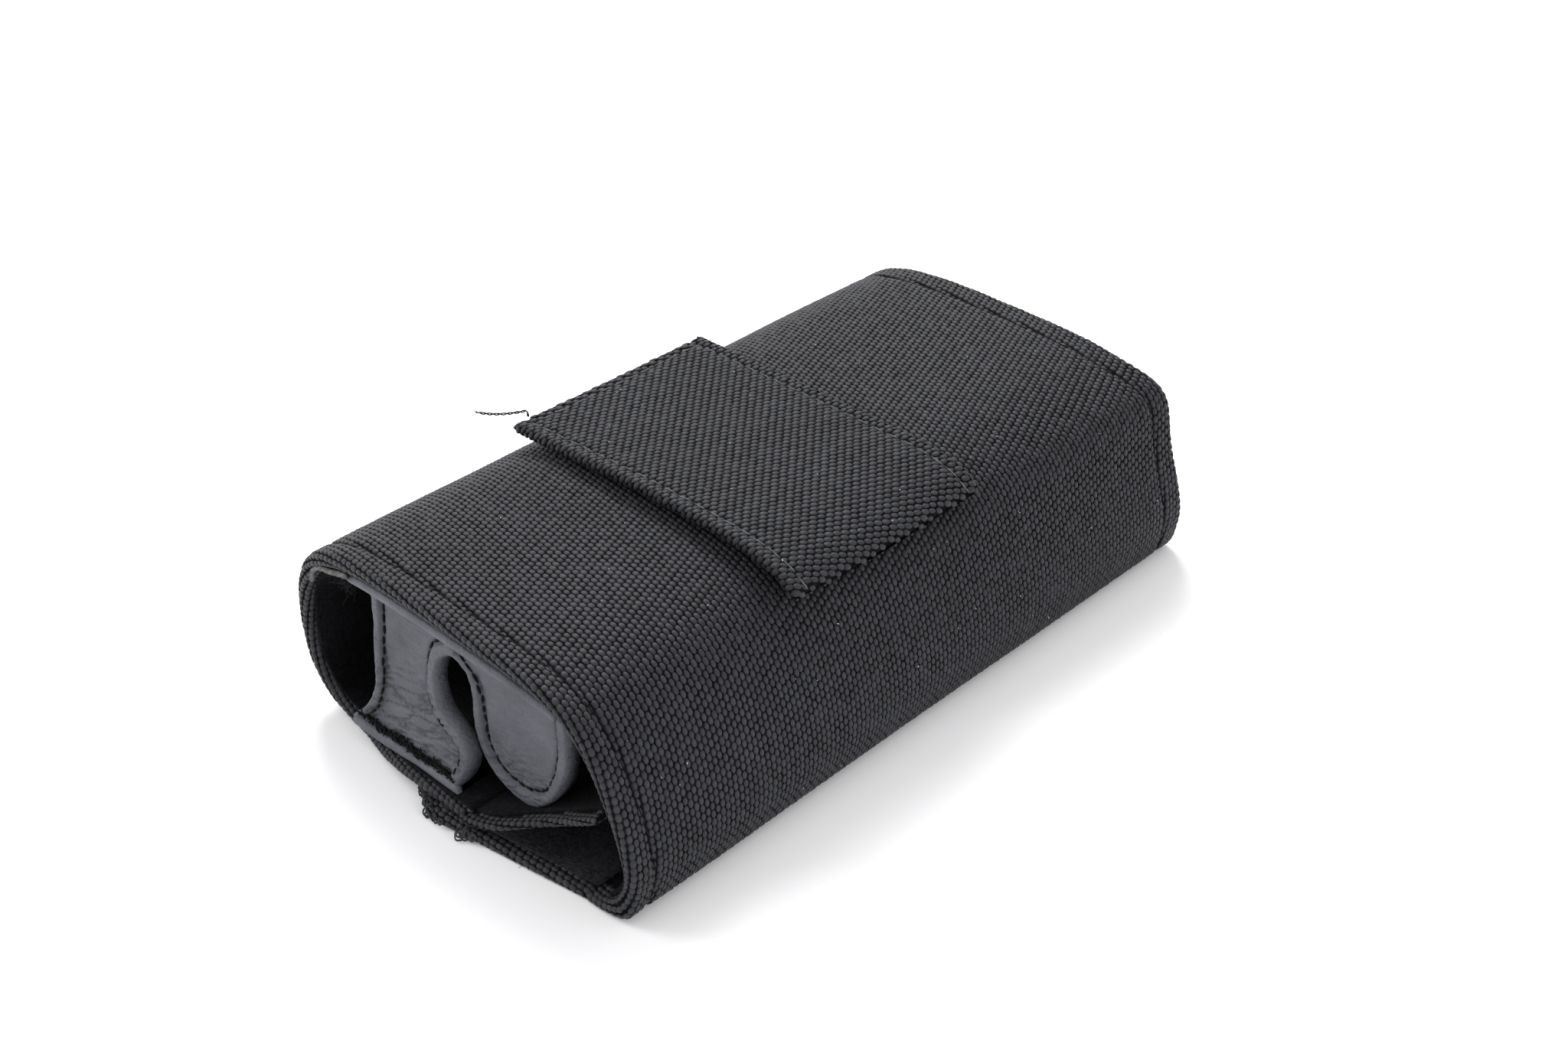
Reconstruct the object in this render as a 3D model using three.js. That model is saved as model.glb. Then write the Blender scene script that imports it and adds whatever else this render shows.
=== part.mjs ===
// A small belt pouch: one nylon cloth wound into a flat tube around a grey leather holder.
// Section coordinates: X runs across (0 at the right wall), Y into the mouth, Z up from the ground.
import * as THREE from "three";

const tubeLength = 125;          // mouth rim to far rim
const nylonThickness = 0.8;
const hemThickness = 1.3;        // the cloth doubled and pressed
const hemWidth = 6;
const liningInset = 1.6;         // from the rim line to the back of the velvet
const liningThickness = 0.4;
const leatherInset = 2.3;        // from the rim line to the back of the leather panels
const leatherThickness = 1.6;
const layerGap = 0.3;
const threadRadius = 0.22;
const threadLift = 0.2;          // clear space between a thread and the cloth it lies on

const foldX = -8;                // where the closure flap leaves the right wall
const flapReach = 33;            // the flap's run to the left from the fold
const flapStart = -1;            // its place along Y at the fold
const flapSkew = -5.2;           // and how much further its free end has crept out of the mouth
const innerSkew = -3.4;          // the same for the inner layer, lower right of the mouth
const innerHingeX = -29.6;       // the inner end bends up from here

const patch = { left: -65.3, right: -6, near: 38, far: 78, thickness: 0.7, nearLift: 0.5, cornerLift: 1.2 };
const strap = { plane: 2, thickness: 1.6, top: 26.4, foot: 6.2, lean: -2.6, headerFoot: 25.7 };
const tongue = { top: 24.7, endX: -23.4, endZ: 7.2 };

const nearStitch = 3.8;          // hem seams, from the rim
const farStitch = 4.8;
const patchStitch = 2.2;         // patch seams, from its edge

const colours = { nylon: 0x33343a, velvet: 0x151519, leather: 0x6e737c, thread: 0x24252a, edge: 0x7f8187 };

function finish(colour, roughness) {
  return new THREE.MeshStandardMaterial({ color: colour, roughness, metalness: 0 });
}

const nylon = () => finish(colours.nylon, 0.85);
const velvet = () => finish(colours.velvet, 0.98);
const leather = () => finish(colours.leather, 0.55);
const thread = () => finish(colours.thread, 0.7);
const edgeTape = () => finish(colours.edge, 0.9);

const points = (list) => list.map(([x, z]) => new THREE.Vector2(x, z));
const smooth = (list, count) => new THREE.SplineCurve(points(list)).getSpacedPoints(count);

// Each outline is walked with its inner side on the left. The padded cloth swells from the rim line,
// where its doubled edge turns over, out to the outer line.
const outerLine = smooth([
  [-8, 0], [-3.6, 0.15], [0, 1.1], [1.2, 4.6], [1.4, 9], [-0.2, 15], [-2.9, 21], [-6.4, 26.3], [-11, 30],
  [-16.8, 31.9], [-25, 32.6], [-40, 32.7], [-52, 32.4], [-60.9, 31.2], [-66.9, 28.3], [-70.8, 22.9], [-72.1, 15.5],
  [-71.2, 8], [-67.8, 3.1], [-62.4, 0.6], [-57, 0.2], [-52, 0.2], [-47.4, 1.1], [-43, 1.8], [-36, 1.8], [-30, 1.8],
], 72);
const rimLine = smooth([
  [-8, 0], [-4.6, 0.3], [-1.6, 2.2], [-0.1, 6], [0, 9.5], [-1.5, 14.6], [-4.1, 20.3], [-7.3, 25.4], [-11.4, 28.8],
  [-17, 30.7], [-25, 31.4], [-40, 31.5], [-52, 31.1], [-60.5, 29.9], [-65.9, 27.2], [-69.4, 22.3], [-70.8, 15.5],
  [-70.2, 8.8], [-67.2, 3.9], [-62.4, 1.2], [-57, 0.4], [-52, 0.4], [-47.4, 1.3], [-43, 1.9], [-36, 1.9], [-30, 1.9],
], 72);
const innerEndOutline = smooth([
  [innerHingeX, 1.9], [-24, 4.1], [-18, 7], [-12, 10.4], [-7.6, 13.2],
], 12);
const flapOutline = smooth([[foldX - flapReach, 0], [-26, 0], [foldX - 0.4, 0]], 10);
const patchOutline = smooth([
  [patch.right, 28.8], [-9, 30.9], [-13.5, 32.2], [-20, 33], [-32, 33.2], [-46, 33.1], [-58, 32.9], [patch.left, 32.7],
], 22);

function offsetLine(line, distance) {
  return line.map((point, index) => {
    const before = line[Math.max(index - 1, 0)];
    const after = line[Math.min(index + 1, line.length - 1)];
    const along = after.clone().sub(before).normalize();
    return new THREE.Vector2(point.x - along.y * distance, point.y + along.x * distance);
  });
}

// Turns a profile drawn in X and Z into a solid that runs from front to back along Y.
function alongTube(shape, front, back) {
  const solid = new THREE.ExtrudeGeometry(shape, { depth: back - front, bevelEnabled: false, curveSegments: 8 });
  solid.rotateX(Math.PI / 2);
  solid.translate(0, back, 0);
  return solid;
}

// A sheet between two lines: a box with one slice per point of the lines, bent onto them.
function sheetBetween(outer, inner, front, back, steps = 1) {
  const slices = outer.length - 1;
  return bend(new THREE.BoxGeometry(1, 1, 1, slices, 1, steps), (point) => {
    const base = (point.y < 0 ? outer : inner)[Math.round((point.x + 0.5) * slices)];
    point.set(base.x, THREE.MathUtils.lerp(back, front, point.z + 0.5), base.y);
  });
}

// The same for a sheet of one thickness, set in from a line.
const ribbon = (line, inset, thickness, front, back, steps) =>
  sheetBetween(offsetLine(line, inset), offsetLine(line, inset + thickness), front, back, steps);

function bend(solid, move) {
  const place = solid.attributes.position;
  const point = new THREE.Vector3();
  for (let index = 0; index < place.count; index += 1) {
    point.fromBufferAttribute(place, index);
    move(point);
    place.setXYZ(index, point.x, point.y, point.z);
  }
  solid.computeVertexNormals();
  return solid;
}

const ramp = (value, from, to) => THREE.MathUtils.smoothstep(value, Math.min(from, to), Math.max(from, to));

// The lower layers have crept out of the mouth; the shift grows towards the middle of the bottom.
function innerCreep(point) {
  if (point.y > tubeLength / 2) return 0;
  const low = 1 - ramp(point.z, 4, 12);
  const fromLeft = ramp(point.x, -62, -42);
  const fromRight = 1 - ramp(point.x, -29, -8);
  return innerSkew * low * fromLeft * fromRight;
}

function creepOut(solid) {
  return bend(solid, (point) => { point.y += innerCreep(point); });
}

function flapShift(solid) {
  return bend(solid, (point) => { point.y += flapStart + flapSkew * (foldX - point.x) / flapReach; });
}

const patchRise = (x, y) => {
  const towardsNear = Math.pow(THREE.MathUtils.clamp((patch.far - y) / (patch.far - patch.near), 0, 1), 2);
  const towardsRight = ramp(x, -34, patch.right);
  return towardsNear * (patch.nearLift + patch.cornerLift * towardsRight);
};

function patchPly(inset) {
  const solid = ribbon([...patchOutline], -inset, patch.thickness, patch.near, patch.far, 5);
  return bend(solid, (point) => { point.z += patchRise(point.x, point.y); });
}

const threadSection = new THREE.Shape(
  Array.from({ length: 6 }, (_, side) => {
    const angle = (side / 6) * Math.PI * 2;
    return new THREE.Vector2(Math.cos(angle) * threadRadius, Math.sin(angle) * threadRadius);
  }),
);

function threadAlong(places, steps) {
  const route = new THREE.CatmullRomCurve3(places.map(([x, y, z]) => new THREE.Vector3(x, y, z)), false, "centripetal");
  return new THREE.ExtrudeGeometry(threadSection, { steps, extrudePath: route, bevelEnabled: false });
}

// A seam that follows the outer face all the way round at one distance from the rim.
function hemThread(y) {
  const line = offsetLine(outerLine, -(threadRadius + threadLift)).slice(5, 55);
  return threadAlong(line.map((point) => [point.x, y, point.y]), 100);
}

function patchTop(x, y) {
  const line = patchOutline;
  const index = line.findIndex((point) => point.x <= x);
  const high = line[Math.max(index - 1, 0)];
  const low = line[index < 0 ? line.length - 1 : index];
  const share = high.x === low.x ? 0 : (high.x - x) / (high.x - low.x);
  const base = THREE.MathUtils.lerp(high.y, low.y, THREE.MathUtils.clamp(share, 0, 1));
  return base + patch.thickness * 2 + layerGap + patchRise(x, y) + threadRadius + threadLift + 0.12;
}

function patchThread(from, to, count) {
  const places = Array.from({ length: count + 1 }, (_, index) => {
    const share = index / count;
    const x = THREE.MathUtils.lerp(from[0], to[0], share);
    const y = THREE.MathUtils.lerp(from[1], to[1], share);
    return [x, y, patchTop(x, y)];
  });
  return threadAlong(places, count * 3);
}

// The leather strap that joins the top panel to the bottom one, with a waist beside the slot
// and a narrow header that carries the tongue.
function strapShape() {
  const shape = new THREE.Shape();
  shape.moveTo(-54.4, strap.top);
  shape.bezierCurveTo(-55.2, 20, -55.6, 15, -56.6, 11);
  shape.quadraticCurveTo(-57.8, 8.2, -61.6, strap.foot);
  shape.lineTo(-37.6, strap.foot);
  shape.bezierCurveTo(-34.8, 7.2, -34.6, 9.4, -37, 10.3);
  shape.bezierCurveTo(-41.8, 11.6, -43.8, 14.2, -42.9, 18);
  shape.bezierCurveTo(-42.3, 21.6, -40.6, 23.9, -38.4, 24);
  shape.quadraticCurveTo(-36.4, 24.2, -35.6, strap.headerFoot);
  shape.lineTo(-18.6, strap.headerFoot);
  shape.lineTo(-19.4, strap.top);
  shape.closePath();
  return shape;
}

// The free tongue: its left side bows out, and its end is one round.
function tongueShape() {
  const shape = new THREE.Shape();
  shape.moveTo(-33.6, tongue.top);
  shape.bezierCurveTo(-31.6, 22.4, -31.4, 19.6, -32, 15);
  shape.bezierCurveTo(-32, 10.6, -28.2, 7.6, tongue.endX, tongue.endZ);
  shape.bezierCurveTo(-17.4, 8, -13.6, 13.4, -12.9, 22.2);
  shape.quadraticCurveTo(-15, 24.4, -19, tongue.top);
  shape.closePath();
  return shape;
}

const strapLean = (z) => strap.lean * THREE.MathUtils.clamp((strap.top - z) / (strap.top - strap.foot), 0, 1);

function strapSolid() {
  const solid = alongTube(strapShape(), strap.plane, strap.plane + strap.thickness);
  return bend(solid, (point) => { point.y += strapLean(point.z); });
}

const strapFace = (x, z) => [x, strap.plane + strapLean(z) - threadRadius - threadLift, z];
const tongueFace = (x, z) => [x, strap.plane - threadRadius - threadLift, z];

const pouch = new THREE.Group();

function add(name, geometry, material) {
  const mesh = new THREE.Mesh(geometry, material);
  mesh.name = name;
  pouch.add(mesh);
}

// The wound cloth, its doubled rims and its velvet.
const shellBack = offsetLine(rimLine, nylonThickness);
const hemBack = offsetLine(rimLine, hemThickness);
add("wrap_shell", creepOut(sheetBetween(outerLine, shellBack, hemWidth + layerGap,
  tubeLength - hemWidth - layerGap)), nylon());
add("near_hem", creepOut(sheetBetween(outerLine, hemBack, 0, hemWidth)), nylon());
add("far_hem", sheetBetween(outerLine, hemBack, tubeLength - hemWidth, tubeLength), nylon());
add("wrap_lining", creepOut(ribbon(rimLine.slice(4), liningInset, liningThickness, 0.8, tubeLength - 0.8)), velvet());
add("near_hem_thread", hemThread(nearStitch), thread());
add("far_hem_thread", hemThread(tubeLength - farStitch), thread());

// The pale raw edge of the velvet, at the upper left of the mouth.
const edgeLine = rimLine.filter((point) => point.x < -58.5 && point.y > 25);
add("lining_edge_tape", ribbon(edgeLine, liningInset + liningThickness + layerGap, 0.7, 0.4, 4.4), edgeTape());

// The springy inner end of the cloth, which climbs to the right wall.
add("inner_end_shell", creepOut(ribbon(innerEndOutline, 0, nylonThickness, 0, tubeLength, 1)), nylon());
add("inner_end_lining", creepOut(ribbon(innerEndOutline.slice(1), nylonThickness + layerGap, liningThickness,
  0.8, tubeLength - 0.8)), velvet());

// The closure flap, under everything else.
add("flap_shell", flapShift(ribbon(flapOutline, 0, nylonThickness, 0, tubeLength)), nylon());
add("flap_lining", flapShift(ribbon(flapOutline.slice(1, -1), nylonThickness + layerGap, liningThickness,
  1.6, tubeLength - 1.6)), velvet());

// The patch on the top: two plies folded at the edge.
add("patch_bottom_ply", patchPly(patch.thickness), nylon());
add("patch_top_ply", patchPly(patch.thickness * 2 + layerGap), nylon());
const patchSpan = [patch.left + patchStitch, patch.right - patchStitch];
add("patch_near_thread", patchThread([patchSpan[0], patch.near + patchStitch], [patchSpan[1], patch.near + patchStitch], 12),
  thread());
add("patch_far_thread", patchThread([patchSpan[0], patch.far - patchStitch], [patchSpan[1], patch.far - patchStitch], 12),
  thread());
add("patch_end_thread", patchThread([patch.left + patchStitch * 2, patch.near + patchStitch * 2],
  [patch.left + patchStitch * 2, patch.far - patchStitch * 2], 6), thread());
add("stray_thread", threadAlong([[-65.9, 40.6, 34.4], [-67.3, 41.2, 34.3], [-69.2, 39.5, 34], [-71, 37.8, 34.1],
  [-72.2, 36.8, 34.4]], 12), thread());

// The leather holder.
const topLine = rimLine.filter((point) => point.y > 25 && point.x < -17 && point.x > -58.6);
add("leather_top_panel", ribbon(topLine, leatherInset, leatherThickness, 1, tubeLength - 7), leather());
const bottomLine = rimLine.filter((point) => point.y < 3 && point.x > -61 && point.x < -35);
add("leather_bottom_panel", creepOut(ribbon(bottomLine, leatherInset, leatherThickness, 0.4, tubeLength - 7)), leather());
add("leather_strap", strapSolid(), leather());
add("leather_tongue", alongTube(tongueShape(), strap.plane, strap.plane + strap.thickness), leather());
add("strap_outer_thread", threadAlong([strapFace(-52.5, 26), strapFace(-53.7, 18), strapFace(-54.6, 10.5),
  strapFace(-56.6, 8)], 20), thread());
add("strap_inner_thread", threadAlong([strapFace(-41.2, 25), strapFace(-44.2, 21), strapFace(-44.9, 15),
  strapFace(-42.6, 11), strapFace(-39, 9)], 24), thread());
add("strap_foot_thread", threadAlong([strapFace(-58, 7.1), strapFace(-50, 6.9), strapFace(-39, 7.1)], 16), thread());
add("tongue_thread", threadAlong([tongueFace(-31, 23.6), tongueFace(-29.7, 20), tongueFace(-30, 14.6),
  tongueFace(-27.4, 10.8), tongueFace(-22.6, 9.2), tongueFace(-18, 12), tongueFace(-15.6, 17), tongueFace(-14.9, 21.6)],
  36), thread());

// The origin is the middle of the object's box, on the ground.
const span = new THREE.Box3().setFromObject(pouch);
const middle = span.getCenter(new THREE.Vector3());
pouch.position.set(-middle.x, -middle.y, -span.min.z);

export default pouch;
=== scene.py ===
import bpy
import math
import numpy as np
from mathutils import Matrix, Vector, geometry, noise


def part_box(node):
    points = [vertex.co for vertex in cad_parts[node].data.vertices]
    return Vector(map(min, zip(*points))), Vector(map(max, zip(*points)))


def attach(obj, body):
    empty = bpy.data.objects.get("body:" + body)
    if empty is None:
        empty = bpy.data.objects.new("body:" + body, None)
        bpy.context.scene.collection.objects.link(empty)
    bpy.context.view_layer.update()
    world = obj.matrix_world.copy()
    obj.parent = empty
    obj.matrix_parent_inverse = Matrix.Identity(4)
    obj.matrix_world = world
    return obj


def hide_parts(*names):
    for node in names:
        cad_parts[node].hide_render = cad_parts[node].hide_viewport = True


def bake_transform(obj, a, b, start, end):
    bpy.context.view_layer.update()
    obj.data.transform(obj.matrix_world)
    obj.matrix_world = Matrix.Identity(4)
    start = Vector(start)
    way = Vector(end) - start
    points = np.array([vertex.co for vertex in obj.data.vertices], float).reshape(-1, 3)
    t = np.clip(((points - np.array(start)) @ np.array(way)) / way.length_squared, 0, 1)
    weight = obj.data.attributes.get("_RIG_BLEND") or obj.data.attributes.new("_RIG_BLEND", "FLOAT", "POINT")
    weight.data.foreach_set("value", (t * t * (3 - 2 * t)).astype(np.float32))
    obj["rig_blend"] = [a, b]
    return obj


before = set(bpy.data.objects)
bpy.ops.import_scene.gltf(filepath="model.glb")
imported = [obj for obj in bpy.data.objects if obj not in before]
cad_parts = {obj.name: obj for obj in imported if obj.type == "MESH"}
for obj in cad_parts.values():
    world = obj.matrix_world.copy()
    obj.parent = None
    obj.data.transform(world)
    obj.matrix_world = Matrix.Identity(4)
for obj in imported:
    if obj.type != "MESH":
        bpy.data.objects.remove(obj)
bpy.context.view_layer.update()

mm = 0.001

# Section coordinates run across the tube (0 at the right wall), into the mouth, and up, all in mm.
tube = {"length": 125.0, "foldX": -8.0, "flapReach": 33.0, "innerHingeX": -29.6}
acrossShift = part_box("flap_shell")[1][0] / mm - (tube["foldX"] - 0.4)
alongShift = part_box("far_hem")[1][1] / mm - tube["length"]


def place(x, y, z):
    return Vector(((x + acrossShift) * mm, (y + alongShift) * mm, z * mm))


def placeAll(points):
    shift = np.array([acrossShift, alongShift, 0.0])
    return (np.asarray(points, float) + shift) * mm


def smoothStep(value, low, high):
    share = np.clip((np.asarray(value, float) - low) / (high - low), 0, 1)
    return share * share * (3 - 2 * share)


def smoothLine(knots, spacing, count=None):
    # a Catmull-Rom line through the knots, cut into equal steps
    knots = np.array(knots, float)
    ends = np.vstack([knots[0], knots, knots[-1]])
    fine = []
    for index in range(len(knots) - 1):
        p0, p1, p2, p3 = ends[index:index + 4]
        for share in np.linspace(0, 1, 24, endpoint=False):
            v0, v1 = (p2 - p0) / 2, (p3 - p1) / 2
            fine.append((2 * p1 - 2 * p2 + v0 + v1) * share ** 3 + (3 * p2 - 3 * p1 - 2 * v0 - v1) * share ** 2
                        + v0 * share + p1)
    fine = np.array(fine + [knots[-1]])
    run = np.concatenate([[0], np.cumsum(np.linalg.norm(np.diff(fine, axis=0), axis=1))])
    count = count or max(2, round(run[-1] / spacing))
    at = np.linspace(0, run[-1], count + 1)
    return np.stack([np.interp(at, run, fine[:, axis]) for axis in range(fine.shape[1])], axis=1)


def lineRun(line):
    return np.concatenate([[0], np.cumsum(np.linalg.norm(np.diff(line, axis=0), axis=1))])


def inwardNormals(line):
    along = np.gradient(line, axis=0)
    along /= np.linalg.norm(along, axis=1)[:, None]
    return np.stack([-along[:, 1], along[:, 0]], axis=1)


# Each line is walked with the cloth's inner side on its left.
outerKnots = [
    (-8, 0), (-3.6, 0.15), (0, 1.1), (1.2, 4.6), (1.4, 9), (-0.2, 15), (-2.9, 21), (-6.4, 26.3), (-11, 30),
    (-16.8, 31.9), (-25, 32.6), (-40, 32.7), (-52, 32.4), (-60.9, 31.2), (-66.9, 28.3), (-70.8, 22.9), (-72.1, 15.5),
    (-71.2, 8), (-67.8, 3.1), (-62.4, 0.6), (-57, 0.2), (-52, 0.2), (-47.4, 1.1), (-43, 1.8), (-36, 1.8), (-30, 1.8),
]
rimKnots = [
    (-8, 0), (-4.6, 0.3), (-1.6, 2.2), (-0.1, 6), (0, 9.5), (-1.5, 14.6), (-4.1, 20.3), (-7.3, 25.4), (-11.4, 28.8),
    (-17, 30.7), (-25, 31.4), (-40, 31.5), (-52, 31.1), (-60.5, 29.9), (-65.9, 27.2), (-69.4, 22.3), (-70.8, 15.5),
    (-70.2, 8.8), (-67.2, 3.9), (-62.4, 1.2), (-57, 0.4), (-52, 0.4), (-47.4, 1.3), (-43, 1.9), (-36, 1.9), (-30, 1.9),
]
innerEndKnots = [(-31.5, 1.9), (-29.6, 2.0), (-24, 4.1), (-18, 7), (-12, 10.4), (-7.6, 13.2), (-4.6, 15.3)]
patchKnots = [(-6, 28.8), (-9, 30.9), (-13.5, 32.2), (-20, 33), (-32, 33.2), (-46, 33.1), (-58, 32.9), (-65.3, 32.7)]

outerLine = smoothLine(outerKnots, 1.0)
rimLine = smoothLine(rimKnots, 1.0, len(outerLine) - 1)


def insetLine(line, depth):
    return line + inwardNormals(line) * depth


# camera, floor and light

view = {"azimuth": 43.7, "elevation": 33.9, "lens": 48.34, "eye": (156.6, -133.8, 202.7)}   # degrees, mm of lens, section mm


def makeCamera():
    camera = bpy.data.objects.new("camera", bpy.data.cameras.new("camera"))
    bpy.context.scene.collection.objects.link(camera)
    camera.data.lens = view["lens"]
    camera.data.sensor_width = 36
    camera.data.clip_start = 0.01
    turn, tilt = math.radians(view["azimuth"]), math.radians(view["elevation"])
    look = Vector((-math.sin(turn) * math.cos(tilt), math.cos(turn) * math.cos(tilt), -math.sin(tilt)))
    camera.location = place(*view["eye"])
    camera.rotation_euler = look.to_track_quat("-Z", "Y").to_euler()
    bpy.context.scene.camera = camera
    bpy.context.scene.view_settings.view_transform = "Standard"


light = {
    "world": 0.93,
    "lamps": [
        # name, place in metres, size, watts
        ("keyLamp", (-0.55, 0.42, 0.8), 0.42, 9.5),
        ("mouthLamp", (-0.85, -0.5, 0.62), 0.4, 4.5),
        ("sideLamp", (0.9, -0.1, 0.35), 0.5, 2.8),
    ],
}


def makeLight():
    world = bpy.data.worlds.new("paleStudio")
    world.use_nodes = True
    world.node_tree.nodes["Background"].inputs["Color"].default_value = (1.0, 1.0, 1.0, 1)
    world.node_tree.nodes["Background"].inputs["Strength"].default_value = light["world"]
    bpy.context.scene.world = world
    for name, spot, size, watts in light["lamps"]:
        lamp = bpy.data.lights.new(name, "AREA")
        lamp.size = size
        lamp.energy = watts
        holder = bpy.data.objects.new(name, lamp)
        bpy.context.scene.collection.objects.link(holder)
        holder.location = Vector(spot)
        holder.rotation_euler = (-Vector(spot)).to_track_quat("-Z", "Y").to_euler()


# materials


def addObject(name, data):
    piece = bpy.data.objects.new(name, data)
    bpy.context.scene.collection.objects.link(piece)
    return piece


def register(piece, slot, where, *nodes):
    # where is a body, or two bodies and the ends of the bend between them
    if isinstance(where, str):
        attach(piece, where)
    else:
        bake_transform(piece, *where["bodies"], start=where["start"], end=where["end"])
    if nodes:
        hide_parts(*nodes)


def newMaterial(name):
    material = bpy.data.materials.new(name)
    material.use_nodes = True
    return material, material.node_tree, material.node_tree.nodes["Principled BSDF"]


def fill(tree, node, inputs):
    # inputs gives a value or another node's socket for each input, by number or by name
    for key, value in inputs.items():
        if isinstance(value, bpy.types.NodeSocket):
            tree.links.new(value, node.inputs[key])
        else:
            node.inputs[key].default_value = value


def put(tree, kind, inputs=None, **settings):
    node = tree.nodes.new(kind)
    for key, value in settings.items():
        setattr(node, key, value)
    fill(tree, node, inputs or {})
    return node


def number(tree, operation, *values):
    return put(tree, "ShaderNodeMath", dict(enumerate(values)), operation=operation).outputs[0]


def scaledBy(tree, direction, amount):
    return put(tree, "ShaderNodeVectorMath", {0: direction, "Scale": amount}, operation="SCALE").outputs[0]


def parts(tree, source):
    return put(tree, "ShaderNodeSeparateXYZ", {0: source}).outputs


def objectPlace(tree):
    return put(tree, "ShaderNodeTexCoord").outputs["Object"]


def rampNode(tree, source, stops):
    ramp = put(tree, "ShaderNodeValToRGB", {"Fac": source})
    while len(ramp.color_ramp.elements) < len(stops):
        ramp.color_ramp.elements.new(0.5)
    for element, (at, colour) in zip(ramp.color_ramp.elements, stops):
        element.position = at
        element.color = (*colour, 1)
    return ramp.outputs["Color"]


def greys(*stops):
    return [(at, (tone,) * 3) for at, tone in stops]


def tones(look, lift, low, high):
    return [(at, tuple(lift * part for part in look[key])) for at, key in ((low, "low"), (high, "high"))]


def noiseNode(tree, source, scale, detail=4.0, rough=0.55):
    return put(tree, "ShaderNodeTexNoise", {"Scale": scale, "Detail": detail, "Roughness": rough,
                                            "Vector": source}).outputs["Fac"]


def cellNode(tree, source, scale):
    return put(tree, "ShaderNodeTexVoronoi", {"Scale": scale, "Vector": source}).outputs["Distance"]


def mapNode(tree, source, limits, **settings):
    # limits are from low, from high, to low, to high
    inputs = dict(zip(("From Min", "From Max", "To Min", "To Max"), limits))
    return put(tree, "ShaderNodeMapRange", {**inputs, "Value": source}, **settings).outputs[0]


def bumpNode(tree, height, strength, distance, under=None):
    inputs = {"Strength": strength, "Distance": distance, "Height": height}
    if under is not None:
        inputs["Normal"] = under
    return put(tree, "ShaderNodeBump", inputs).outputs["Normal"]


def attribute(tree, name, output="Fac"):
    return put(tree, "ShaderNodeAttribute", attribute_name=name).outputs[output]


floorLook = {"tone": (0.93, 0.93, 0.94), "halfSide": 6.0}   # metres


def makeFloor():
    material, tree, shader = newMaterial("paleFloor")
    fill(tree, shader, {"Base Color": (*floorLook["tone"], 1), "Roughness": 0.9, "Specular IOR Level": 0.1})
    mesh = bpy.data.meshes.new("floor")
    size = floorLook["halfSide"]
    mesh.from_pydata([(-size, -size, 0), (size, -size, 0), (size, size, 0), (-size, size, 0)], [], [(0, 1, 2, 3)])
    mesh.materials.append(material)
    floor = addObject("floor", mesh)


nylonLook = {"low": (0.0130, 0.0134, 0.0172), "high": (0.0278, 0.0287, 0.0356), "dark": (0.003, 0.003, 0.0035),
             "ground": (0.010, 0.010, 0.011)}


def nylonFloatMaterial(name="nylonYarn", lift=1.0):
    # the raised yarns: each has its own tone, flanks darkened towards the base as painted shade, and fine filaments
    # along it
    material, tree, shader = newMaterial(name)
    patchy = noiseNode(tree, objectPlace(tree), 38.0, 3.0)
    mix = number(tree, "MULTIPLY_ADD", attribute(tree, "yarnTone"), 0.45, number(tree, "MULTIPLY", patchy, 0.6))
    colour = rampNode(tree, mix, tones(nylonLook, lift, 0.12, 0.75))
    local = parts(tree, attribute(tree, "yarnPlace", "Vector"))
    # painted shade: each float's colour darkens towards its base, where it meets the cloth
    height = rampNode(tree, local["Z"], greys((0.02, 0.2), (0.4, 0.6), (0.9, 1)))
    shade = put(tree, "ShaderNodeMix", {"Factor": 1.0, 6: colour, 7: height}, data_type="RGBA", blend_type="MULTIPLY")
    filament = number(tree, "SINE", number(tree, "MULTIPLY", local["Y"], 17.0))
    fill(tree, shader, {"Base Color": shade.outputs[2], "Normal": bumpNode(tree, filament, 0.35, 0.00004),
                        "Roughness": 0.48, "Specular IOR Level": 0.22, "Sheen Weight": 0.04, "Sheen Roughness": 0.5})
    return material


def nylonGroundMaterial():
    # the cloth under the raised yarns, where little light reaches: black nylon, made darker than the floats as painted
    # shade in the gaps
    material, tree, shader = newMaterial("nylonGround")
    cells = cellNode(tree, objectPlace(tree), 1100)
    fill(tree, shader, {"Base Color": rampNode(tree, cells, [(0.0, nylonLook["ground"]), (0.8, nylonLook["dark"])]),
                        "Normal": bumpNode(tree, cells, 0.8, 0.0002), "Roughness": 0.95, "Specular IOR Level": 0.03})
    return material


velvetLook = {"low": (0.0025, 0.0025, 0.003), "high": (0.012, 0.012, 0.014), "nap": 1500.0}


def velvetMaterial(name="velvet", lift=1.0):
    material, tree, shader = newMaterial(name)
    place = objectPlace(tree)
    nap = noiseNode(tree, place, velvetLook["nap"], 3.0, 0.7)
    mix = number(tree, "MULTIPLY", nap, noiseNode(tree, place, 60.0, 2.0))
    fill(tree, shader, {"Base Color": rampNode(tree, mix, tones(velvetLook, lift, 0.12, 0.42)),
                        "Normal": bumpNode(tree, nap, 0.9, 0.0003), "Roughness": 1.0, "Specular IOR Level": 0.02,
                        "Sheen Weight": 0.035, "Sheen Roughness": 0.35})
    return material


leatherLook = {"low": (0.053, 0.057, 0.069), "high": (0.092, 0.097, 0.114), "grain": 1900.0, "crease": 900.0}


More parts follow.
